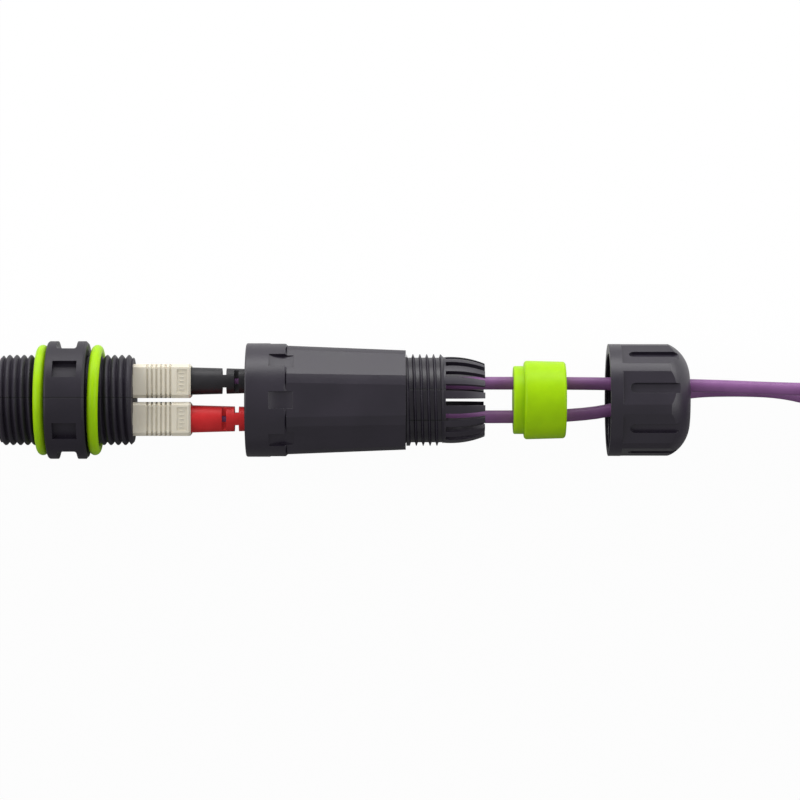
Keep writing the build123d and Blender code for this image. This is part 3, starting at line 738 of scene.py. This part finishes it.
def groove_tree():
    """A spiral path, and the outline of the tool's tip swept along it."""
    tree, sizes = open_tree("helical_groove", "Cutter", dict.fromkeys(GROOVE_SIZES, "Float"))
    radius = sizes["Radius"]
    spiral = {"Resolution": SPIRAL_STEPS, "Rotations": sizes["Turns"], "Reverse": True}
    spiral.update({"Start Radius": radius, "End Radius": radius, "Height": sizes["Pitch"] * sizes["Turns"]})
    path = radius.node("GeometryNodeCurveSpiral", inputs=spiral)
    path = radius.node("GeometryNodeSetCurveNormal", {"mode": "Z_UP"}, {"Curve": path})
    line = radius.node("GeometryNodeCurvePrimitiveLine", inputs={"Start": (-1, 0, 0), "End": (1, 0, 0)})
    line = radius.node("GeometryNodeResampleCurve", inputs={"Curve": line, "Count": OUTLINE_POINTS})
    across = radius.node("GeometryNodeInputPosition").axis("X")
    away = across.absolute()
    rise = (1 - away) / (1 - sizes["Floor Share"])
    slope = rise.maths("MINIMUM", rise, 1.0)
    inside = slope ** sizes["Rounding"] * sizes["Depth"] * -1
    at_mouth = away.above(MOUTH)
    height = inside * (1 - at_mouth) + sizes["Lip"] * at_mouth
    width = across * sizes["Width"] * -0.5
    spot = radius.node("ShaderNodeCombineXYZ", inputs={"X": height, "Y": width})
    outline = radius.node("GeometryNodeSetPosition", inputs={"Geometry": line, "Position": spot})
    outline = radius.node("GeometryNodeSetSplineCyclic", inputs={"Geometry": outline, "Cyclic": True})
    swept = {"Curve": path, "Profile Curve": outline, "Fill Caps": True}
    close_tree(radius.node("GeometryNodeCurveToMesh", inputs=swept), sizes["Material"])
    return tree


GROOVE = groove_tree()
print("groove tree:", len(GROOVE.nodes), "nodes")


# %% Turn a tree's result into a plain mesh
def plain_mesh(name, tree, **sizes):
    """Runs a Geometry Nodes tree with these inputs, and keeps what it makes as a mesh."""
    holder = bpy.data.objects.new(name, bpy.data.meshes.new(name))
    bpy.context.scene.collection.objects.link(holder)
    modifier = holder.modifiers.new(name, "NODES")
    modifier.node_group = tree
    for item in tree.interface.items_tree:
        key = item.name.replace(" ", "_").lower()
        if item.in_out == "INPUT" and key in sizes:
            modifier[item.identifier] = sizes[key]
    graph = bpy.context.evaluated_depsgraph_get()
    made = bpy.data.meshes.new_from_object(holder.evaluated_get(graph), depsgraph=graph)
    holder.modifiers.remove(modifier)
    holder.data = made
    return holder


print("inputs are set by identifier, such as", GROOVE.interface.items_tree[1].identifier)

# %% A merged copy of a CAD node
MERGE_DISTANCE = 1e-7


def merged_copy(node, name):
    """A copy of a CAD node whose loose triangles are joined at their corners."""
    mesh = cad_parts[node].data.copy()
    work = bmesh.new()
    work.from_mesh(mesh)
    bmesh.ops.remove_doubles(work, verts=work.verts, dist=MERGE_DISTANCE)
    open_edges = sum(1 for edge in work.edges if not edge.is_manifold)
    work.to_mesh(mesh)
    work.free()
    copy = bpy.data.objects.new(name, mesh)
    bpy.context.scene.collection.objects.link(copy)
    print(name, "faces:", len(mesh.polygons), "open edges:", open_edges)
    return copy


def volume(mesh):
    """A closed mesh's volume in cubic millimetres."""
    work = bmesh.new()
    work.from_mesh(mesh)
    size = work.calc_volume(signed=True)
    work.free()
    return size / MM**3


print(f"the nut holds {volume(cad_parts['gland_nut'].data):.0f} mm3 of plastic")


# %% Cut a groove from a copy
def cut_groove(piece, start_x, **sizes):
    """Cuts one helical groove, which starts at start_x, from a piece. The tree's spiral climbs along
    Z, so it is turned to climb along X first."""
    cutter = plain_mesh("groove_cutter", GROOVE, material=finishes["coupler_plastic"], **sizes)
    for vertex in cutter.data.vertices:
        x, y, z = vertex.co
        vertex.co = (z + start_x, y, -x)
    cut = piece.modifiers.new("thread", "BOOLEAN")
    cut.operation = "DIFFERENCE"
    cut.solver = "MANIFOLD"
    cut.object = cutter
    graph = bpy.context.evaluated_depsgraph_get()
    made = bpy.data.meshes.new_from_object(piece.evaluated_get(graph), depsgraph=graph)
    piece.modifiers.remove(cut)
    removed = volume(piece.data) - volume(made)
    print(f"{piece.name}: the cut takes {removed:.0f} mm3 and leaves {len(made.polygons)} faces")
    piece.data = made
    bpy.data.objects.remove(cutter)


print("ready to cut")

# %% Smooth shading with true edges
TRUE_EDGE = math.radians(11)


def smooth_by_angle(piece):
    """Smooth shading, but a true edge wherever two faces meet at a larger angle. The normals that
    came with the CAD mesh no longer fit the cut one, so they go first."""
    stored = piece.data.attributes.get("custom_normal")
    if stored:
        piece.data.attributes.remove(stored)
    piece.data.shade_smooth()
    piece.data.set_sharp_from_angle(angle=TRUE_EDGE)


print(f"true edges from {math.degrees(TRUE_EDGE):.0f} degrees")

# %% [markdown]
# The coupler's thread is coarse, with a pitch of 1.57 mm and rounded crests. The gland thread on the
# housing is a little finer, with thin ridges that stand between broad flat valleys. The housing's
# socket and the nut have the matching threads inside, where the groove goes outwards: the same tree
# makes it with its depth, lip and width below zero.

# %% Threaded barrel
BARREL_PITCH = 1.57 * MM
BARREL_THREADS = [(-0.9, 9.6), (22.0, 8.0)]
BARREL_GROOVE = {
    "radius": 9.85 * MM,
    "pitch": BARREL_PITCH,
    "depth": 0.78 * MM,
    "lip": 0.25 * MM,
    "width": 1.44 * MM,
    "floor_share": 0.06,
    "rounding": 1.5,
}

barrel = merged_copy("coupler_barrel", "threaded_barrel")
for start_x, length in BARREL_THREADS:
    cut_groove(barrel, start_x * MM, turns=length * MM / BARREL_PITCH, **BARREL_GROOVE)
smooth_by_angle(barrel)
dress(barrel, "coupler_plastic")
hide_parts("coupler_barrel")
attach(barrel, "coupler")

# %% Threaded housing, with its gland outside and its socket inside
GLAND_PITCH = 1.5 * MM
GLAND_START = 88.7 * MM
GLAND_TURNS = 4.9
GLAND_GROOVE = {
    "radius": 10.0 * MM,
    "pitch": GLAND_PITCH,
    "depth": 0.75 * MM,
    "lip": 0.25 * MM,
    "width": 1.44 * MM,
    "floor_share": 0.6,
    "rounding": 1.4,
}
SOCKET_START = 52.6 * MM
SOCKET_TURNS = 5.3
INNER_GROOVE = {
    "depth": -0.6 * MM,
    "lip": -0.2 * MM,
    "width": -1.2 * MM,
    "floor_share": 0.2,
    "rounding": 1.2,
}
SOCKET_GROOVE = {"radius": 10.1 * MM, "pitch": BARREL_PITCH, **INNER_GROOVE}

housing = merged_copy("housing", "threaded_housing")
cut_groove(housing, GLAND_START, turns=GLAND_TURNS, **GLAND_GROOVE)
cut_groove(housing, SOCKET_START, turns=SOCKET_TURNS, **SOCKET_GROOVE)
smooth_by_angle(housing)
dress(housing, "anthracite_plastic")
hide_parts("housing")
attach(housing, "housing")

# %% Threaded nut
NUT_START = 131.6 * MM
NUT_GROOVE = {"radius": 10.15 * MM, "pitch": GLAND_PITCH, **INNER_GROOVE}

nut = merged_copy("gland_nut", "threaded_nut")
cut_groove(nut, NUT_START, turns=GLAND_TURNS, **NUT_GROOVE)
smooth_by_angle(nut)
dress(nut, "anthracite_plastic")
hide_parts("gland_nut")
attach(nut, "gland_nut")

# %% [markdown]
# ## Ticks in the windows
# Each face of a plug's sleeve has a shallow window with a short scale of raised ticks. The bars could
# be placed one by one, but a scale is the plainest thing that repeats, so Geometry Nodes put a bar on
# every point of a line. The line is drawn twice, for the window above and for the one below.

# %% A tree that draws the ticks of one sleeve
TICK_LENGTHS = ["Spacing", "Bar Length", "Bar Width", "Bar Height", "Floor Height"]


def tick_tree():
    """A row of bars across each of a sleeve's two windows."""
    kinds = {"Count": "Int", **dict.fromkeys(TICK_LENGTHS, "Float")}
    tree, sizes = open_tree("window_ticks", "Ticks", kinds)
    first = sizes["Spacing"] * (sizes["Count"] - 1) * -0.5
    sides = {"X": sizes["Bar Length"], "Y": sizes["Bar Width"], "Z": sizes["Bar Height"]}
    bar_size = first.node("ShaderNodeCombineXYZ", inputs=sides)
    bar = first.node("GeometryNodeMeshCube", inputs={"Size": bar_size})
    stride = first.node("ShaderNodeCombineXYZ", inputs={"Y": sizes["Spacing"]})
    both = tree.nodes.new("GeometryNodeJoinGeometry")
    for side in (-1, 1):
        height = (sizes["Floor Height"] + sizes["Bar Height"] * 0.5) * side
        begin = first.node("ShaderNodeCombineXYZ", inputs={"Y": first, "Z": height})
        values = {"Count": sizes["Count"], "Start Location": begin, "Offset": stride}
        row = first.node("GeometryNodeMeshLine", inputs=values)
        tree.links.new(row.socket, both.inputs[0])
    placed = {"Points": Wire(tree, both.outputs[0]), "Instance": bar}
    close_tree(first.node("GeometryNodeInstanceOnPoints", inputs=placed), sizes["Material"])
    return tree


TICKS = tick_tree()
print("tick tree:", len(TICKS.nodes), "nodes")

# %% Ticks for the four sleeves
WINDOW_MIDDLE = 25.1
WINDOW_DEPTH = 0.2
TICK_SIZES = {
    "count": 5,
    "spacing": 0.9 * MM,
    "bar_length": 1.1 * MM,
    "bar_width": 0.18 * MM,
    "bar_height": 0.14 * MM,
    "floor_height": (SLEEVE_HALF - WINDOW_DEPTH) * MM,
}
sleeves = {
    "black_grip": (PLUG_TIP + WINDOW_MIDDLE, PORT_OFFSET, 0),
    "red_grip": (PLUG_TIP + WINDOW_MIDDLE, -PORT_OFFSET, 0),
    "black_far_grip": (FAR_PLUG_TIP - WINDOW_MIDDLE, FAR_PLUG_OFFSET, FAR_HEIGHT),
    "red_far_grip": (FAR_PLUG_TIP - WINDOW_MIDDLE, -FAR_PLUG_OFFSET, FAR_HEIGHT),
}
ticks = {}
for body, middle in sleeves.items():
    piece = plain_mesh(f"{body}_ticks", TICKS, material=finishes["beige_plastic"], **TICK_SIZES)
    for vertex in piece.data.vertices:
        vertex.co += Vector(middle) * MM
    dress(piece, "beige_plastic")
    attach(piece, body)
    ticks[body] = piece
    print(piece.name, "faces:", len(piece.data.polygons))

# %% Cords on their plugs
FAR_PLUG_PIECES = ["frame", "rear_body", "crimp_ring", "boot", "spring", "grip", "ferrule", "ferrule_holder"]

for colour, side in (("black", 1), ("red", -1)):
    cord = cords[colour]
    cord.data.materials.append(finishes["violet_jacket"])
    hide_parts(f"{colour}_cord", f"{colour}_hank", f"{colour}_tail")
    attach(cord, f"{colour}_plug")
    on_cord = [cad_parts[f"{colour}_far_{piece}"] for piece in FAR_PLUG_PIECES]
    on_cord.append(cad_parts[f"{colour}_hank_tie"])
    on_cord.append(ticks[f"{colour}_far_grip"])
    side * PORT_OFFSET * MM

# %% [markdown]
# ## Floor and light
# The picture's ground is pure white, but the object must not be lit harder for it. So the floor
# glows for the camera's own rays, and a little for mirrored ones on the lamp's side, a painted
# reflection, and throws no extra light on the object. Under that glow it is a diffuse table that
# keeps the object's shadow, and its grey is painted shade on the side away from the long lamp and
# painted light towards it, from where it lights the steep upper sides.
# One long soft box beyond the top edge gives the broad sheen along those sides. Two small ones light
# the ends that look left and right, and the world's even light fills the rest.

# %% The table's looks
GLOW_SHARE = 0.975
# How much the floor glows for mirrored rays on the lamp's side: a painted reflection on the upper sides.
PAINTED_REFLECTION_SHARE = 0.2
GRAIN_SHARE = 0.05
# Painted shade: the table's grey on the side away from the lamp. Painted light: its grey towards the lamp.
TABLE_PAINTED_SHADE = (0.22, 0.22, 0.22, 1)
TABLE_PAINTED_LIGHT = (0.95, 0.95, 0.95, 1)
PAINTED_SHADE_UP_TO = -15.0
PAINTED_LIGHT_FROM = 20.0
WHITE = (1, 1, 1, 1)


def white_floor():
    """A table that is white for the camera and grey for everything else. Its grey is painted shade away from
    the lamp and painted light towards it.
    """
    made, place = start("floor")
    grain = noise(place, size=2.0)
    # 1 towards the lamp, where the table's grey holds painted light, and 0 where it holds painted shade.
    painted_light_side = place.axis("Y").between(PAINTED_SHADE_UP_TO, PAINTED_LIGHT_FROM)
    painted_light_and_grain = painted_light_side * (1 - GRAIN_SHARE) + grain * GRAIN_SHARE
    grey = mixed(painted_light_and_grain, TABLE_PAINTED_SHADE, TABLE_PAINTED_LIGHT)
    plain = place.node("ShaderNodeBsdfDiffuse", inputs={"Color": grey})
    glow = place.node("ShaderNodeEmission", inputs={"Color": WHITE, "Strength": 1.0})
    seen = place.node("ShaderNodeLightPath", output="Is Camera Ray")
    mirrored = place.node("ShaderNodeLightPath", output="Is Glossy Ray")
    passed = place.node("ShaderNodeLightPath", output="Is Transmission Ray")
    # Mirrored rays see the glow only towards the lamp, a painted reflection.
    share = (seen + passed) * GLOW_SHARE + mirrored * painted_light_side * PAINTED_REFLECTION_SHARE
    ground = place.node("ShaderNodeMixShader", inputs={0: share, 1: plain, 2: glow})
    output = made.node_tree.nodes.new("ShaderNodeOutputMaterial")
    made.node_tree.links.new(ground.socket, output.inputs["Surface"])
    return made


# The table's paleness on the lamp's side is painted light.
print("the table is pale from", PAINTED_LIGHT_FROM, "mm towards the lamp")

# %% White floor
FLOOR_HALF = 3.0

floor_mesh = bpy.data.meshes.new("floor")
ways = [(-1, -1), (1, -1), (1, 1), (-1, 1)]
corners = [(x * FLOOR_HALF, y * FLOOR_HALF, FLOOR * MM) for x, y in ways]
floor_mesh.from_pydata(corners, [], [(0, 1, 2, 3)])
floor_mesh.materials.append(white_floor())
floor = bpy.data.objects.new("floor", floor_mesh)
bpy.context.scene.collection.objects.link(floor)
print("floor at", FLOOR, "mm")

# %% Soft boxes
MIDDLE_OF_VIEW = Vector((CAMERA_PLACE[0], 0, 0))


def soft_box(name, place, size, watts):
    """A rectangular lamp that faces the middle of the view."""
    data = bpy.data.lights.new(name, "AREA")
    data.shape = "RECTANGLE"
    data.size, data.size_y = size
    data.energy = watts
    lamp = bpy.data.objects.new(name, data)
    lamp.location = place
    lamp.rotation_euler = (MIDDLE_OF_VIEW - Vector(place)).to_track_quat("-Z", "Y").to_euler()
    bpy.context.scene.collection.objects.link(lamp)
    return lamp


soft_box("top_edge_box", place=(0.087, 0.5, 0.11), size=(1.5, 0.24), watts=4.5)
soft_box("left_box", place=(-0.5, 0.1, 0.4), size=(0.5, 0.5), watts=2.0)
soft_box("right_box", place=(0.67, 0.1, 0.4), size=(0.5, 0.5), watts=2.0)

# %% The world's light
WORLD_STRENGTH = 0.43

world = bpy.data.worlds.new("studio")
world.use_nodes = True
background = world.node_tree.nodes["Background"]
background.inputs["Color"].default_value = WHITE
background.inputs["Strength"].default_value = WORLD_STRENGTH
bpy.context.scene.world = world
bpy.context.scene.view_settings.view_transform = "Standard"
print("world at", WORLD_STRENGTH)
